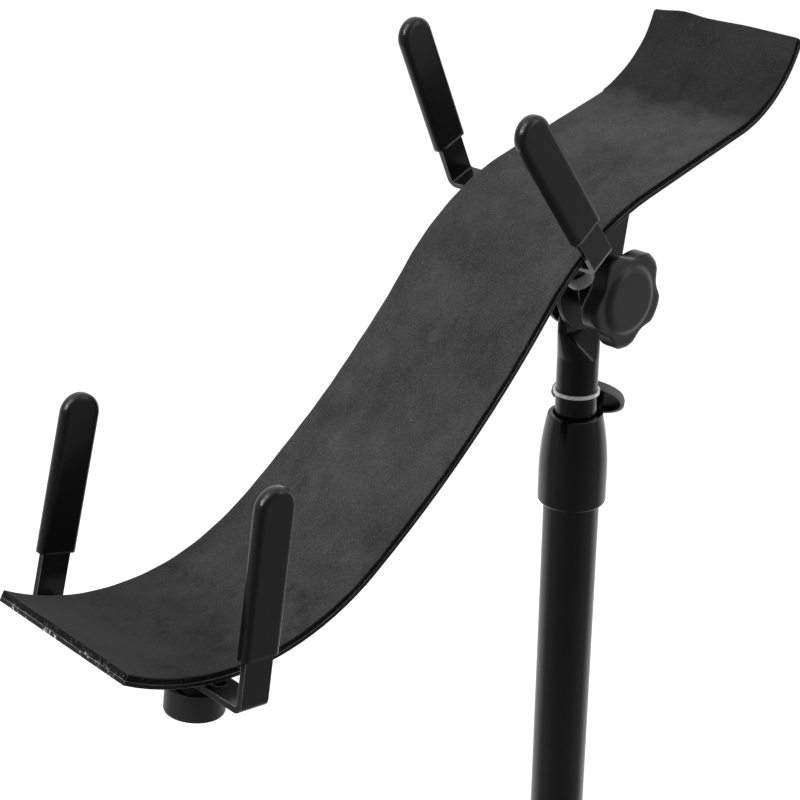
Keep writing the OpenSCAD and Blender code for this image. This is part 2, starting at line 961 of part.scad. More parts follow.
module clamp_knob() {
    low = clamp_boss_end + 0.5;
    color(black)
        on_clamp()
            difference() {
                rotate_extrude()
                    polygon([
                        [0, low],
                        [clamp_hub_r - 0.5, low],
                        [clamp_hub_r, clamp_cap_t - 2.6],
                        [clamp_r - 2.6, clamp_cap_t - 2.9],
                        [clamp_r - 2.2, clamp_rim_t],
                        [clamp_r, clamp_rim_t],
                        [clamp_r, clamp_cap_t - 2.6],
                        [clamp_r - 0.9, clamp_cap_t - 0.8],
                        [clamp_r - 3, clamp_cap_t],
                        [clamp_r - 10, clamp_cap_t + 0.7],
                        [0, clamp_cap_t + 1]
                    ]);
                translate([0, 0, low - 1])
                    cylinder(r = clamp_stud_r + fit, h = clamp_cap_t - 3.9 - low + 1);
            }
}

module outer_tube() {
    color(dark)
        ring(outer_bore_r, outer_r, outer_low_z + tiny, outer_top_z);
}

module hub() {
    color(black)
        difference() {
            union() {
                rotate_extrude()
                    polygon([
                        [0, hub_low_z],
                        [hub_r - 3, hub_low_z],
                        [hub_r, hub_low_z + 3],
                        [hub_r, hub_top_z - 2],
                        [hub_r - 2, hub_top_z],
                        [outer_r + 6, hub_top_z],
                        [outer_r + 4, hub_top_z + 6],
                        [0, hub_top_z + 6]
                    ]);
                for (i = [0:2])
                    rotate([0, 0, 120 * i]) {
                        translate([hub_r - 8, -cheek_out_y, cheek_low_z])
                            cube([pin_r + cheek_r - hub_r + 8, 2 * cheek_out_y, pin_z - cheek_low_z]);
                        translate([hub_r - 8, -cheek_out_y, cheek_low_z])
                            cube([pin_r - hub_r + 8, 2 * cheek_out_y, pin_z + cheek_r - cheek_low_z]);
                        translate([pin_r, cheek_out_y, pin_z])
                            rotate([90, 0, 0])
                                cylinder(r = cheek_r, h = 2 * cheek_out_y);
                    }
            }
            for (i = [0:2])
                rotate([0, 0, 120 * i]) {
                    translate([hub_r, -slot_w / 2, web_top_z])
                        cube([2 * cheek_r + pin_r, slot_w, hub_top_z]);
                    translate([pin_r, cheek_out_y + 1, pin_z])
                        rotate([90, 0, 0])
                            cylinder(r = leg_pin_r + fit, h = 2 * cheek_out_y + 2);
                }
            translate([0, 0, outer_low_z])
                cylinder(r = outer_r + fit, h = hub_top_z);
            rotate([0, 0, 60])
                translate([outer_r - 2, 0, 44])
                    rotate([0, 90, 0])
                        cylinder(r = 4 + fit, h = hub_r);
        }
}

module hub_screw() {
    color(steel)
        rotate([0, 0, 60])
            translate([outer_r + tiny, 0, 44])
                rotate([0, 90, 0])
                    difference() {
                        cylinder(r = 4, h = hub_r - outer_r - 1);
                        translate([0, 0, hub_r - outer_r - 5])
                            cylinder(r = 2.3, h = 6, $fn = 6);
                    }
}

module leg_pins() {
    head_t = 3;
    color(steel)
        for (i = [0:2])
            rotate([0, 0, 120 * i])
                translate([pin_r, cheek_out_y + tiny, pin_z])
                    rotate([90, 0, 0]) {
                        cylinder(r = leg_pin_r, h = 2 * cheek_out_y + 7);
                        translate([0, 0, -head_t])
                            cylinder(r1 = 5.5, r2 = 7, h = head_t);
                    }
}

module leg_nuts() {
    color(steel)
        for (i = [0:2])
            rotate([0, 0, 120 * i])
                translate([pin_r, -cheek_out_y - tiny, pin_z])
                    rotate([90, 0, 0])
                        difference() {
                            cylinder(r = 7.5, h = 6, $fn = 6);
                            translate([0, 0, -1])
                                cylinder(r = leg_pin_r + fit, h = 8);
                        }
}

// places its children on leg i: local X runs from the hinge pin down to the foot
module on_leg(i) {
    rotate([0, 0, 120 * i])
        translate([pin_r, 0, pin_z])
            rotate([0, leg_drop, 0])
                children();
}

module leg_tube(i) {
    color(dark)
        on_leg(i)
            translate([leg_start, 0, 0])
                rotate([0, 90, 0])
                    difference() {
                        cylinder(r = leg_d / 2, h = leg_len - leg_start);
                        translate([0, 0, -1])
                            cylinder(r = leg_d / 2 - leg_wall, h = leg_len + 2);
                    }
}

module leg_knuckle(i) {
    color(black)
        on_leg(i)
            difference() {
                union() {
                    translate([0, tongue_t / 2, 0])
                        rotate([90, 0, 0])
                            cylinder(r = tongue_r, h = tongue_t);
                    translate([0, -tongue_t / 2, -tongue_r])
                        cube([leg_start - 3, tongue_t, 2 * tongue_r]);
                    translate([leg_start - 3 - tiny, 0, 0])
                        rotate([0, 90, 0])
                            cylinder(r = leg_d / 2, h = 3);
                    translate([leg_start - 1, 0, 0])
                        rotate([0, 90, 0])
                            cylinder(r = leg_d / 2 - leg_wall - fit, h = plug_len);
                }
                translate([0, tongue_t, 0])
                    rotate([90, 0, 0])
                        cylinder(r = leg_pin_r + fit, h = 2 * tongue_t);
            }
}

// rubber foot: a cap over the tube's end with a flat round sole
module leg_foot(i) {
    color(dark)
        difference() {
            union() {
                on_leg(i)
                    translate([leg_len - cap_len, 0, 0])
                        rotate([0, 90, 0]) {
                            cylinder(r = cap_r, h = cap_len + 1);
                            translate([0, 0, cap_len + 1])
                                cylinder(r1 = cap_r, r2 = cap_r - 4, h = 4);
                        }
                rotate([0, 0, 120 * i])
                    translate([foot_r, 0, 0]) {
                        cylinder(r1 = foot_d / 2 - 1, r2 = foot_d / 2, h = 1);
                        translate([0, 0, 1])
                            cylinder(r = foot_d / 2, h = 6);
                        translate([0, 0, 7])
                            cylinder(r1 = foot_d / 2, r2 = cap_r - 1, h = 5);
                    }
            }
            on_leg(i)
                translate([leg_len - cap_len - 1, 0, 0])
                    rotate([0, 90, 0])
                        cylinder(r = leg_d / 2 + fit, h = cap_len + 1 + tiny);
            rotate([0, 0, 120 * i])
                translate([foot_r - 60, -30, -30])
                    cube([120, 60, 30]);
        }
}

module leg_tube_front() {
    leg_tube(0);
}

module leg_tube_left() {
    leg_tube(1);
}

module leg_tube_right() {
    leg_tube(2);
}

module leg_knuckle_front() {
    leg_knuckle(0);
}

module leg_knuckle_left() {
    leg_knuckle(1);
}

module leg_knuckle_right() {
    leg_knuckle(2);
}

module leg_foot_front() {
    leg_foot(0);
}

module leg_foot_left() {
    leg_foot(1);
}

module leg_foot_right() {
    leg_foot(2);
}

cradle_plate();
cradle_pad();
tilt_bracket();
bracket_studs();
bracket_nuts();
arm_studs();
pivot_bolt();
pivot_washers();
star_knob();
star_insert();
arm_near_low();
arm_far_low();
arm_near_up();
arm_far_up();
sleeve_near_low();
sleeve_far_low();
sleeve_near_up();
sleeve_far_up();
arm_spacers();
far_washers();
far_nuts();
knob_near_low();
knob_near_up();
insert_near_low();
insert_near_up();
inner_tube();
height_ring();
tube_stop();
guide_bush();
clamp_collar();
collar_pins();
clamp_screw();
clamp_knob();
outer_tube();
hub();
hub_screw();
leg_pins();
leg_nuts();
leg_tube_front();
leg_tube_left();
leg_tube_right();
leg_knuckle_front();
leg_knuckle_left();
leg_knuckle_right();
leg_foot_front();
leg_foot_left();
leg_foot_right();
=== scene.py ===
"""Guitar stand with a padded, curved cradle: camera, materials, pad, open cup and studio."""

import json
import math

import bmesh
import bpy
from mathutils import Matrix, Vector


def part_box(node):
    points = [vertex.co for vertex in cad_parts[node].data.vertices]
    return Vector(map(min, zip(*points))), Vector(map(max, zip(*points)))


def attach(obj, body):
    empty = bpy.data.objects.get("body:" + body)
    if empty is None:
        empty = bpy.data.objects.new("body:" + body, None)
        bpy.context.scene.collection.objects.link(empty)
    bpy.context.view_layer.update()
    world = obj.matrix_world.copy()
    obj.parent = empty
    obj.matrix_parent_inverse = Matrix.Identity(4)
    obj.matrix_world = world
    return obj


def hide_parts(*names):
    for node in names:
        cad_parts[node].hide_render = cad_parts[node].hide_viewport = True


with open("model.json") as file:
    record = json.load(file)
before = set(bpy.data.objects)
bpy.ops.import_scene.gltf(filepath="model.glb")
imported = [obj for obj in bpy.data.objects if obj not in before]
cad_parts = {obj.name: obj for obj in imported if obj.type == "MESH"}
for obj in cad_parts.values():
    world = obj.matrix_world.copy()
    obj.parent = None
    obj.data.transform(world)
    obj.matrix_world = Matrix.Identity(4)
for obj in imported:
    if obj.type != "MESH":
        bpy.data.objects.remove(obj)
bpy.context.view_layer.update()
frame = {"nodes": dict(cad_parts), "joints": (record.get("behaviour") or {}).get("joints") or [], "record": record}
nodes = frame["nodes"]
joints = {joint["name"]: joint for joint in frame["joints"]}
scene = bpy.context.scene

MM = 0.001

# Places along the cradle that its materials follow, in metres

LOW_END_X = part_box("cradle_plate")[0][0]
TOP_CURVE_X = 0.061


def add_object(name, mesh, *materials):
    """Link a finished mesh to the scene, with these materials in the order of their slots."""
    data = bpy.data.meshes.new(name)
    mesh.to_mesh(data)
    mesh.free()
    for material in materials:
        data.materials.append(material)
    made = bpy.data.objects.new(name, data)
    scene.collection.objects.link(made)
    return made


# Camera, as the photograph sees the stand

CAMERA_PLACE = Vector((-0.6549, -0.5621, 1.020))
CAMERA_AZIMUTH = math.radians(-43.21)
CAMERA_ELEVATION = math.radians(23.03)
CAMERA_ROLL = math.radians(0.37)
CAMERA_LENS = 79.85
CAMERA_SENSOR = 36.0
CAMERA_REACH = (0.01, 50)


def make_camera():
    a, e = CAMERA_AZIMUTH, CAMERA_ELEVATION
    right = Vector((math.cos(a), math.sin(a), 0))
    back = Vector((math.sin(a) * math.cos(e), -math.cos(a) * math.cos(e), math.sin(e)))
    up = back.cross(right)
    rolled_right = right * math.cos(CAMERA_ROLL) + up * math.sin(CAMERA_ROLL)
    rolled_up = up * math.cos(CAMERA_ROLL) - right * math.sin(CAMERA_ROLL)
    turn = Matrix((rolled_right, rolled_up, back)).transposed().to_4x4()
    data = bpy.data.cameras.new("camera")
    data.lens = CAMERA_LENS
    data.sensor_width = CAMERA_SENSOR
    data.sensor_fit = "HORIZONTAL"
    data.clip_start, data.clip_end = CAMERA_REACH
    camera = bpy.data.objects.new("camera", data)
    camera.matrix_world = Matrix.Translation(CAMERA_PLACE) @ turn
    scene.collection.objects.link(camera)
    scene.camera = camera


make_camera()


# Shader nodes


def add(tree, kind, inputs=None, **settings):
    """A shader node with its settings; each of its inputs gets a value or a link from a socket."""
    node = tree.nodes.new("ShaderNode" + kind)
    for name, value in settings.items():
        setattr(node, name, value)
    for key, value in (inputs or {}).items():
        if isinstance(value, bpy.types.NodeSocket):
            tree.links.new(value, node.inputs[key])
        else:
            node.inputs[key].default_value = value
    return node


def empty_material(name):
    material = bpy.data.materials.new(name)
    material.use_nodes = True
    material.node_tree.nodes.clear()
    return material, material.node_tree


def new_material(name):
    """A material with a Principled shader on its output."""
    material, tree = empty_material(name)
    shader = add(tree, "BsdfPrincipled")
    add(tree, "OutputMaterial", {"Surface": shader.outputs["BSDF"]})
    return material, tree, shader


def place(tree):
    """The point that is shaded, in the frame's metres."""
    return add(tree, "TexCoord").outputs["Object"]


def axis_value(tree, axis):
    """One coordinate of the point that is shaded, in the frame's metres."""
    return add(tree, "SeparateXYZ", {"Vector": place(tree)}).outputs[axis]


def noise(tree, scale, detail=4.0, rough=0.55, stretch=(1, 1, 1)):
    mapping = add(tree, "Mapping", {"Vector": place(tree), "Scale": stretch})
    vector = mapping.outputs["Vector"]
    inputs = {"Vector": vector, "Scale": scale, "Detail": detail, "Roughness": rough}
    return add(tree, "TexNoise", inputs).outputs["Fac"]


def ramp(tree, source, low, high, start=0.0, end=1.0):
    """Start below low, end beyond high, and straight in between."""
    inputs = {"Value": source, "From Min": low, "From Max": high, "To Min": start, "To Max": end}
    return add(tree, "MapRange", inputs).outputs["Result"]


def calc(tree, operation, first, second):
    return add(tree, "Math", {0: first, 1: second}, operation=operation).outputs["Value"]


def vector_calc(tree, operation, output, *values):
    """Vector maths on sockets or plain vectors; output is the name of the socket that is wanted."""
    return add(tree, "VectorMath", dict(enumerate(values)), operation=operation).outputs[output]


def mix_colour(tree, factor, first, second):
    """A blend of two colours, each a socket or a tuple of red, green and blue."""
    ends = [(*value, 1.0) if isinstance(value, tuple) else value for value in (first, second)]
    inputs = {"Factor": factor, "A": ends[0], "B": ends[1]}
    return add(tree, "Mix", inputs, data_type="RGBA").outputs["Result"]


def rounded_normal(tree, radius):
    return add(tree, "Bevel", {"Radius": radius}, samples=6).outputs["Normal"]


def edge_mask(tree, radius):
    """1 where the surface turns sharply: there the rounded normal leaves the true one."""
    true_normal = add(tree, "NewGeometry").outputs["Normal"]
    match = vector_calc(tree, "DOT_PRODUCT", "Value", rounded_normal(tree, radius), true_normal)
    return ramp(tree, match, 0.98, 0.75)


def bump(tree, shader, height, strength, distance, radius=None):
    """Fine relief on the surface and, with a radius, on edges that look rounded."""
    inputs = {"Strength": strength, "Distance": distance, "Height": height}
    if radius is not None:
        inputs["Normal"] = rounded_normal(tree, radius)
    tree.links.new(add(tree, "Bump", inputs).outputs["Normal"], shader.inputs["Normal"])


def times(colour, factor):
    return tuple(c * factor for c in colour)


def patchy(tree, patches, first, second):
    """Two colours that give way to each other in patches."""
    return mix_colour(tree, ramp(tree, patches, 0.3, 0.7), first, second)


def finish_gloss(tree, shader, patches, low, high, shine):
    """Uneven gloss, from low to high roughness in the same patches."""
    tree.links.new(ramp(tree, patches, 0.25, 0.75, low, high), shader.inputs["Roughness"])
    shader.inputs["Specular IOR Level"].default_value = shine


# Materials

PAINT_BLACK = (0.006, 0.006, 0.0065)
DEEP_BLACK = (0.003, 0.003, 0.0032)
CHIPPED_PAINT = (0.62, 0.61, 0.6)
CHIPPED_FOAM = (0.6, 0.6, 0.59)
FOAM_DEEP = (0.02, 0.02, 0.021)
FOAM_DARK = (0.035, 0.035, 0.036)
FOAM_LIGHT = (0.074, 0.074, 0.075)
FOAM_STREAK = (0.1, 0.1, 0.101)
FOAM_GRAIN = (0.14, 0.14, 0.142)
FOAM_LINT = (0.26, 0.26, 0.26)
FINE_RELIEF = 0.0001


def chips(tree):
    """Small chipped spots along the cradle's low end."""
    spots = ramp(tree, noise(tree, 640, 4, 0.7), 0.54, 0.62)
    groups = ramp(tree, noise(tree, 75, 3), 0.48, 0.58)
    near_end = ramp(tree, axis_value(tree, "X"), LOW_END_X + 0.0018, LOW_END_X + 0.0004)
    return calc(tree, "MULTIPLY", calc(tree, "MULTIPLY", spots, groups), near_end)


def powder_coat(name, colour, rough, grain, edge=0.0006, chipped=False, highlight_grey=0.09, shine=0.22):
    """Painted steel: fine orange peel, slightly uneven gloss and a painted highlight along its edges, paler in
    patches.
    """
    material, tree, shader = new_material(name)
    patches = noise(tree, 18, 3)
    highlight_patches = ramp(tree, noise(tree, 120, 3), 0.35, 0.6, 0.35, 1.0)
    painted_edge_highlight = calc(tree, "MULTIPLY", edge_mask(tree, edge), highlight_patches)
    paint = patchy(tree, patches, colour, times(colour, 1.5))
    # Painted highlight: the edges are painted a paler grey, broken up in patches.
    shade = mix_colour(tree, painted_edge_highlight, paint, (highlight_grey, highlight_grey, highlight_grey))
    if chipped:
        shade = mix_colour(tree, chips(tree), shade, CHIPPED_PAINT)
    tree.links.new(shade, shader.inputs["Base Color"])
    finish_gloss(tree, shader, patches, rough - 0.05, rough + 0.07, shine)
    bump(tree, shader, noise(tree, grain, 2), 0.16, FINE_RELIEF, edge)
    return material


def moulded(name, colour, rough, grain, strength, edge=0.0006, shine=0.5, highlight_grey=0.0):
    """Moulded plastic: faint texture, uneven gloss, rounded edges and, if asked, a painted highlight along its
    edges.
    """
    material, tree, shader = new_material(name)
    patches = noise(tree, 26, 3)
    shade = patchy(tree, patches, colour, times(colour, 1.3))
    # Painted highlight: a paler grey along the edges, where asked.
    if highlight_grey:
        shade = mix_colour(tree, edge_mask(tree, edge), shade, (highlight_grey, highlight_grey, highlight_grey))
    tree.links.new(shade, shader.inputs["Base Color"])
    finish_gloss(tree, shader, patches, rough - 0.04, rough + 0.05, shine)
    bump(tree, shader, noise(tree, grain, 3), strength, FINE_RELIEF, edge)
    return material


def from_axis(tree, joint):
    """Distance of the point that is shaded from a joint's axis, in metres."""
    local = vector_calc(tree, "SUBTRACT", "Vector", place(tree), joint["pos_m"])
    sideways = vector_calc(tree, "CROSS_PRODUCT", "Vector", local, joint["axis"])
    return vector_calc(tree, "LENGTH", "Value", sideways)


def knob_with_painted_highlight(name, joint, inner, outer):
    """Dull black plastic with a painted highlight: its rim, from between two radii outwards, painted pale grey."""
    material, tree, shader = new_material(name)
    patches = noise(tree, 60, 4)
    highlight_band = ramp(tree, from_axis(tree, joint), inner, outer)
    grey = patchy(tree, patches, (0.22, 0.22, 0.222), (0.32, 0.32, 0.322))
    black = patchy(tree, patches, (0.0025, 0.0025, 0.0026), (0.005, 0.005, 0.0052))
    # Painted highlight: the rim is painted pale grey all round.
    tree.links.new(mix_colour(tree, highlight_band, black, grey), shader.inputs["Base Color"])
    finish_gloss(tree, shader, patches, 0.45, 0.6, 0.04)
    bump(tree, shader, noise(tree, 1400, 3), 0.2, FINE_RELIEF, 0.0012)
    return material


def brushed(name, colour, rough, metallic=1.0):
    """Bare metal with fine turning marks."""
    material, tree, shader = new_material(name)
    marks = noise(tree, 900, 2, 0.5, (1, 1, 12))
    shade = patchy(tree, noise(tree, 40, 3), colour, times(colour, 0.82))
    tree.links.new(shade, shader.inputs["Base Color"])
    shader.inputs["Metallic"].default_value = metallic
    gloss = ramp(tree, marks, 0.3, 0.7, rough - 0.07, rough + 0.1)
    tree.links.new(gloss, shader.inputs["Roughness"])
    bump(tree, shader, marks, 0.12, 0.00006, 0.0003)
    return material


def pad_painted_shade(tree):
    """Painted shade: 1 along the pad's middle, less towards its low end and on its raised top end."""
    shift = ramp(tree, noise(tree, 32, 5, 0.6), 0.3, 0.7, -0.009, 0.009)
    x = calc(tree, "ADD", axis_value(tree, "X"), shift)
    low = ramp(tree, x, LOW_END_X + 0.03, LOW_END_X + 0.13, 0.37, 0.75)
    crest = ramp(tree, x, -0.06, 0.01, 0.0, 0.2)
    top = ramp(tree, x, TOP_CURVE_X - 0.006, TOP_CURVE_X + 0.008, 1.0, 0.4)
    return calc(tree, "MULTIPLY", calc(tree, "ADD", low, crest), top)


def foam_face(name):
    """Closed-cell foam sheet: grainy, with cloudy scuffs, faint streaks, lint, chipped spots and painted shade at
    its low and top ends.
    """
    material, tree, shader = new_material(name)
    grain = noise(tree, 1300, 3, 0.7)
    clouds = ramp(tree, noise(tree, 22, 7, 0.68), 0.34, 0.66)
    in_scoop = ramp(tree, axis_value(tree, "X"), LOW_END_X + 0.08, LOW_END_X + 0.19, 0.95, 0.5)
    blots = calc(tree, "MULTIPLY", ramp(tree, noise(tree, 40, 6, 0.68), 0.52, 0.67), in_scoop)
    streaks = ramp(tree, noise(tree, 45, 6, 0.72, (0.8, 2.0, 1)), 0.56, 0.7, 0.0, 0.45)
    lint = ramp(tree, noise(tree, 420, 5, 0.7), 0.685, 0.73, 0.0, 0.85)
    shade = mix_colour(tree, clouds, FOAM_DARK, FOAM_LIGHT)
    for mask, colour in (
        (blots, FOAM_DEEP),
        (streaks, FOAM_STREAK),
        (ramp(tree, grain, 0.38, 0.5, 0.42, 0.0), FOAM_DEEP),
        (ramp(tree, grain, 0.5, 0.66, 0.0, 0.36), FOAM_GRAIN),
        (lint, FOAM_LINT),
    ):
        shade = mix_colour(tree, mask, shade, colour)
    # Painted shade: the pad's colour darkens towards its low end and on its raised top end.
    shade = mix_colour(tree, pad_painted_shade(tree), (0.0, 0.0, 0.0), shade)
    shade = mix_colour(tree, chips(tree), shade, CHIPPED_FOAM)
    tree.links.new(shade, shader.inputs["Base Color"])
    shader.inputs["Roughness"].default_value = 0.88
    shader.inputs["Specular IOR Level"].default_value = 0.14
    shader.inputs["Sheen Weight"].default_value = 0.04
    shader.inputs["Sheen Roughness"].default_value = 0.5
    bump(tree, shader, grain, 0.45, 0.0002)
    return material


def foam_edge(name):
    """Cut edge of that sheet: darker, with open cells, a few pale specks and chipped spots."""
    material, tree, shader = new_material(name)
    cells = noise(tree, 1500, 3, 0.65)
    specks = ramp(tree, noise(tree, 900, 3, 0.7), 0.62, 0.68, 0.0, 0.8)
    open_cells = ramp(tree, cells, 0.45, 0.7)
    shade = mix_colour(tree, open_cells, (0.004, 0.004, 0.0043), (0.022, 0.022, 0.023))
    shade = mix_colour(tree, specks, shade, (0.16, 0.16, 0.16))
    shade = mix_colour(tree, chips(tree), shade, CHIPPED_FOAM)
    tree.links.new(shade, shader.inputs["Base Color"])
    shader.inputs["Roughness"].default_value = 0.92
    shader.inputs["Specular IOR Level"].default_value = 0.08
    bump(tree, shader, cells, 0.7, 0.0003)
    return material


def rubber(name):
    """Dull rubber with a little dust."""
    material, tree, shader = new_material(name)
    dust = ramp(tree, noise(tree, 30, 5), 0.4, 0.8)
    shade = mix_colour(tree, dust, (0.018, 0.018, 0.019), (0.05, 0.049, 0.047))
    tree.links.new(shade, shader.inputs["Base Color"])
    shader.inputs["Roughness"].default_value = 0.72
    bump(tree, shader, noise(tree, 700, 3), 0.3, 0.00015, 0.001)
    return material


# The look of each material slot, and of the nodes that differ from the rest of their slot

foam = foam_face("foam")

slot_looks = {
    "steel_black": powder_coat(
        "strip_steel", (0.004, 0.004, 0.0042), 0.26, 1500, edge=0.0004, highlight_grey=0.55, shine=0.5
    ),
    "tube_black": powder_coat("tube_black", PAINT_BLACK, 0.24, 1400, shine=0.42),
    "hub_cast": powder_coat("hub_cast", (0.009, 0.009, 0.0095), 0.46, 700, edge=0.001),
    "plastic_matte": moulded(
        "plastic_matte", (0.02, 0.02, 0.0205), 0.42, 1400, 0.22, shine=0.45, highlight_grey=0.12
    ),
    "plastic_gloss": moulded("sleeve_plastic", DEEP_BLACK, 0.21, 900, 0.05, edge=0.0024),
    "bright_steel": brushed("bright_steel", (0.9, 0.9, 0.91), 0.34, 0.45),
    "brass_insert": brushed("brass_insert", (0.72, 0.53, 0.25), 0.3),
    "foam": foam,
    "rubber_foot": rubber("rubber_foot"),
}
node_looks = {
    "cradle_plate": powder_coat("plate_steel", PAINT_BLACK, 0.4, 1500, chipped=True, highlight_grey=0.4),
    "tilt_bracket": powder_coat(
        "bracket_steel", PAINT_BLACK, 0.33, 1500, edge=0.0005, highlight_grey=0.35, shine=0.4
    ),
    "inner_tube": powder_coat("inner_black", DEEP_BLACK, 0.13, 1400, shine=0.36),
    "height_ring": brushed("ring_steel", (0.95, 0.95, 0.96), 0.3, 0.5),
    "star_knob": moulded("star_plastic", (0.011, 0.011, 0.0115), 0.34, 1400, 0.16, edge=0.0024),
    "clamp_knob": knob_with_painted_highlight("clamp_plastic", joints["height_knob_turn"], 0.0178, 0.0188),
    "clamp_collar": moulded("plastic_gloss", DEEP_BLACK, 0.15, 900, 0.05),
}

for part in frame["record"]["subparts"]:
    part_mesh = nodes[part["node"]].data
    part_mesh.materials.clear()
    look = node_looks.get(part["node"], slot_looks[part["material_slot"]])
    part_mesh.materials.append(look)


# The curved line of the pad's top, in millimetres, from the same sizes as the CAD source

PIVOT_Z = 720.0
STRAIGHT_X = -10.4
STRAIGHT_Z = 61.9
STRAIGHT_HEAD = 15.2
STRAIGHT_RUN = 3
RUNS = ((120.0, 66.0), (520.0, 16.0), (138.0, -34.0), (74.0, 0.0), (61.0, 55.0))


def along_run(x, z, heading, size, turn, share):
    """Point and heading after a share of a run: an arc of a radius and a turn, or a straight."""
    now = heading + turn * share
    a, b = math.radians(heading), math.radians(now)
    if turn:
        radius = math.copysign(size, turn)
        dx, dz = math.sin(b) - math.sin(a), math.cos(a) - math.cos(b)
        return x + radius * dx, z + radius * dz, now
    return x + size * share * math.cos(a), z + size * share * math.sin(a), now


def curve_points(step):
    """Points (x, z, heading, way) about a step apart, from the low end to the top end."""
    heading = STRAIGHT_HEAD - sum(turn for _, turn in RUNS[:STRAIGHT_RUN])
    x = z = way = 0.0
    points = []
    for number, (size, turn) in enumerate(RUNS):
        if number == STRAIGHT_RUN:
            shift_x, shift_z = STRAIGHT_X - x, PIVOT_Z + STRAIGHT_Z - z
        length = abs(math.radians(turn)) * size if turn else size
        count = round(length / step)
        for k in range(count):
            here = along_run(x, z, heading, size, turn, k / count)
            points.append((*here, way + length * k / count))
        x, z, heading = along_run(x, z, heading, size, turn, 1.0)
        way += length
    points.append((x, z, heading, way))
    return [(px + shift_x, pz + shift_z, now, s) for px, pz, now, s in points]


# The foam pad, in millimetres

PAD_THICK = 2.8
PAD_LIFT = 0.08
PAD_HALF_WIDTH = 47.0
PAD_INSET = 0.25
PAD_CORNER = 1.2
PAD_EDGE = 0.35
PAD_EDGE_CUT = 0.3
PAD_STEP = 1.0
PAD_ACROSS = 40

# Its unevenness; swell and wave are placed by their distance from the top end

EDGE_WAVES = ((0.12, 0.11, 1), (0.08, 0.37, 2))
SWELL = 1.1
SWELL_RISE = (56, 53)
SWELL_FALL = (46, 8)
END_WAVE_START = 40
END_LEAN, END_LEAN_STOP = 1.4, -10
END_BULGE, END_BULGE_Y, END_BULGE_WIDTH = 1.5, 27, 11
FACE_RIPPLE = 0.1
FACE_SINK = 0.06


def smooth_step(value, low, high):
    k = min(1.0, max(0.0, (value - low) / (high - low)))
    return k * k * (3 - 2 * k)


def pad_half(s, total, side):
    """Half width of the pad at s; its far edge, side 1, swells a little near the top end."""
    inset = PAD_INSET
    end = min(s, total - s)
    if end < PAD_CORNER:
        inset += PAD_CORNER - math.sqrt(max(0.0, PAD_CORNER**2 - (PAD_CORNER - end) ** 2))
    wave = sum(size * math.sin(s * rate + shift * side) for size, rate, shift in EDGE_WAVES)
    swell = 0.0
    if side > 0:
        rise = smooth_step(s, *(total - distance for distance in SWELL_RISE))
        swell = rise * (1 - smooth_step(s, *(total - distance for distance in SWELL_FALL)))
    return PAD_HALF_WIDTH - inset + wave + SWELL * swell


def end_wave(y):
    """How far the pad's top end reaches past a straight cut, across its width."""
    lean = END_LEAN * smooth_step(y, -PAD_HALF_WIDTH, END_LEAN_STOP)
    return lean + END_BULGE * math.exp(-(((y - END_BULGE_Y) / END_BULGE_WIDTH) ** 2))


def unevenness(s, y):
    """Height of the pad's softly uneven face."""
    return FACE_RIPPLE * math.sin(s * 0.16 + y * 0.05) * math.sin(y * 0.11 + 1) - FACE_SINK


def pad_section(s, total):
    """Points (y, n) round the pad's section at s, from the lower near edge over the top."""
    far = pad_half(s, total, 1)
    near = -pad_half(s, total, -1)
    low = PAD_LIFT - PAD_THICK
    cut = PAD_EDGE * PAD_EDGE_CUT
    rows = [near + (far - near) * k / PAD_ACROSS for k in range(1, PAD_ACROSS)]
    return [
        (near, low), (near, -PAD_EDGE), (near + cut, -cut), (near + PAD_EDGE, 0.0),
        *((y, unevenness(s, y)) for y in rows),
        (far - PAD_EDGE, 0.0), (far - cut, -cut), (far, -PAD_EDGE), (far, low),
    ]


def make_pad():
    """A cut sheet with crisp long edges, a slightly wavy top end and a softly uneven face."""
    points = curve_points(PAD_STEP)
    total = points[-1][3]
    mesh = bmesh.new()
    rings = []
    for x, z, heading, s in points:
        h = math.radians(heading)
        top_end = smooth_step(s, total - END_WAVE_START, total)
        ring = []
        for y, n in pad_section(s, total):
            along = top_end * end_wave(y)
            px = x - n * math.sin(h) + along * math.cos(h)
            pz = z + n * math.cos(h) + along * math.sin(h)
            ring.append(mesh.verts.new((px * MM, y * MM, pz * MM)))
        rings.append(ring)
    count = len(rings[0])
    for a, b in zip(rings, rings[1:]):
        for k in range(count):
            j = (k + 1) % count
            face = mesh.faces.new((a[k], a[j], b[j], b[k]))
            face.smooth = 1 <= k <= count - 3
            face.material_index = 1 if k == 0 or k >= count - 2 else 0
    mesh.faces.new(rings[0][::-1]).material_index = 1
    mesh.faces.new(rings[-1]).material_index = 1
    bmesh.ops.recalc_face_normals(mesh, faces=mesh.faces)
    return add_object("foam_pad", mesh, foam, foam_edge("foam_cut"))


pad = make_pad()
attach(pad, "cradle")
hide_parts("cradle_pad")


# The open cup below the near upper arm's knob: radius and height of its outline, in millimetres

CUP_PROFILE = (
    (0.0, -21.4), (3.0, -21.4), (3.0, -31.6), (5.2, -31.5), (6.0, -30.6), (6.0, -24.2),
    (6.25, -23.95), (6.95, -23.95), (7.2, -24.2), (7.2, -30.6), (6.7, -32.0), (5.4, -32.8),
    (3.6, -33.0), (0.0, -33.0),
)
CUP_JOINT_HEIGHT = -18.0
CUP_SIDES = 64


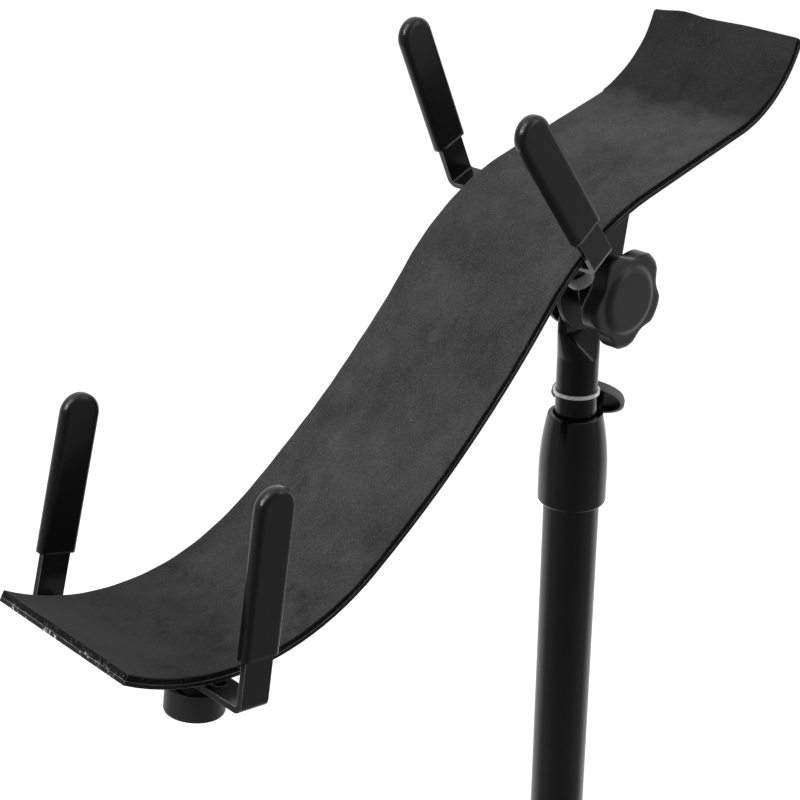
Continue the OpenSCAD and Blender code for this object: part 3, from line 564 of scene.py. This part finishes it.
def make_cup():
    """A shallow open cup, turned about the near upper knob's axis, under that knob."""
    joint = joints["knob_near_up_turn"]
    along = -Vector(joint["axis"])
    side = Vector((0, 1, 0))
    across = along.cross(side)
    angles = [2 * math.pi * k / CUP_SIDES for k in range(CUP_SIDES)]
    mesh = bmesh.new()
    rings = []
    for radius, height in CUP_PROFILE:
        centre = Vector(joint["pos_m"]) + along * ((height - CUP_JOINT_HEIGHT) * MM)
        spokes = [across * math.cos(a) + side * math.sin(a) for a in angles]
        if not radius:
            spokes = [Vector((0, 0, 0))]
        rings.append([mesh.verts.new(centre + spoke * (radius * MM)) for spoke in spokes])
    for a, b in zip(rings, rings[1:]):
        for k in range(CUP_SIDES):
            j = (k + 1) % CUP_SIDES
            corners = [a[k % len(a)], a[j % len(a)], b[j % len(b)], b[k % len(b)]]
            mesh.faces.new(list(dict.fromkeys(corners))).smooth = True
    bmesh.ops.recalc_face_normals(mesh, faces=mesh.faces)
    # Painted reflection: the cup is painted a pale grey for the white backdrop it reflects.
    cup_painted_reflection = moulded("cup_painted_reflection", (0.11, 0.11, 0.112), 0.34, 1400, 0.16)
    return add_object("open_cup", mesh, cup_painted_reflection)


cup = make_cup()
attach(cup, "cup_near_up")


# Studio

BACKDROP_SIDE = (0.68, 0.73, 0.0)
FILL = 0.3
FLOOR_REACH = 14.0
SHADOW_RADII = (0.4, 0.9)
FLOOR_LIFT = (0.48, 0.77)
LIGHT_AIM = Vector((-0.1, 0, 0.7))
LIGHTS = (
    ("key_left", (-1.62, -0.02, 1.6), (0.22, 0.5), 9),
    ("key_right", (-1.5, 0.4, 1.7), (0.22, 0.5), 9),
    ("top", (-1.1, 0.1, 2.25), (1.1, 1.1), 15),
    ("side", (1.1, -1.5, 1.3), (0.5, 1.5), 4),
)


def backdrop_level(tree, direction):
    """How bright a reflection of the studio is: white behind the stand and overhead, else dim."""
    side = vector_calc(tree, "DOT_PRODUCT", "Value", direction, BACKDROP_SIDE)
    height = vector_calc(tree, "DOT_PRODUCT", "Value", direction, (0, 0, 1))
    dim = ramp(tree, side, -1.0, -0.35, 0.14, 0.3)
    behind = ramp(tree, side, 0.04, 0.45, 0.0, 0.7)
    overhead = ramp(tree, height, 0.6, 0.85, 0.0, 0.7)
    return calc(tree, "ADD", dim, calc(tree, "MAXIMUM", behind, overhead))


def glow(tree, strength):
    return add(tree, "Emission", {"Color": (1, 1, 1, 1), "Strength": strength}).outputs["Emission"]


def pick(tree, factor, first, second):
    return add(tree, "MixShader", {"Fac": factor, 1: first, 2: second}).outputs["Shader"]


def ray_kinds(tree):
    """Sockets that are 1 for the camera's rays, and for mirrored or refracted ones."""
    path = add(tree, "LightPath").outputs
    mirrored = calc(tree, "MAXIMUM", path["Is Glossy Ray"], path["Is Transmission Ray"])
    return path["Is Camera Ray"], mirrored


def make_floor():
    """A wide pale floor that reads white to the camera and keeps a faint soft shadow."""
    mesh = bmesh.new()
    bmesh.ops.create_grid(mesh, x_segments=8, y_segments=8, size=FLOOR_REACH)
    material, tree = empty_material("floor")
    seen, mirrored = ray_kinds(tree)
    pale = mix_colour(tree, noise(tree, 9, 3), (0.8, 0.8, 0.8), (0.82, 0.82, 0.82))
    diffuse = add(tree, "BsdfDiffuse", {"Color": pale}).outputs["BSDF"]
    distance = vector_calc(tree, "LENGTH", "Value", place(tree))
    white = calc(tree, "MULTIPLY", seen, ramp(tree, distance, *SHADOW_RADII, *FLOOR_LIFT))
    lifted = add(tree, "AddShader", {0: diffuse, 1: glow(tree, white)}).outputs["Shader"]
    outwards = vector_calc(tree, "NORMALIZE", "Vector", place(tree))
    reflection = glow(tree, backdrop_level(tree, outwards))
    add(tree, "OutputMaterial", {"Surface": pick(tree, mirrored, lifted, reflection)})
    floor = add_object("floor", mesh, material)


def make_world():
    """White to the camera, the studio in reflections and a soft fill for everything else."""
    world = bpy.data.worlds.new("world")
    world.use_nodes = True
    scene.world = world
    tree = world.node_tree
    tree.nodes.clear()
    seen, mirrored = ray_kinds(tree)
    around = add(tree, "TexCoord").outputs["Generated"]
    reflection = glow(tree, backdrop_level(tree, around))
    unseen = pick(tree, mirrored, glow(tree, FILL), reflection)
    add(tree, "OutputWorld", {"Surface": pick(tree, seen, unseen, glow(tree, 1.0))})


def soft_light(name, position, size, power):
    data = bpy.data.lights.new(name, "AREA")
    data.shape = "RECTANGLE"
    data.size, data.size_y = size
    data.energy = power
    light = bpy.data.objects.new(name, data)
    turn = (LIGHT_AIM - Vector(position)).to_track_quat("-Z", "Y").to_matrix().to_4x4()
    light.matrix_world = Matrix.Translation(position) @ turn
    scene.collection.objects.link(light)


make_floor()
make_world()
for light_values in LIGHTS:
    soft_light(*light_values)

scene.view_settings.view_transform = "Standard"
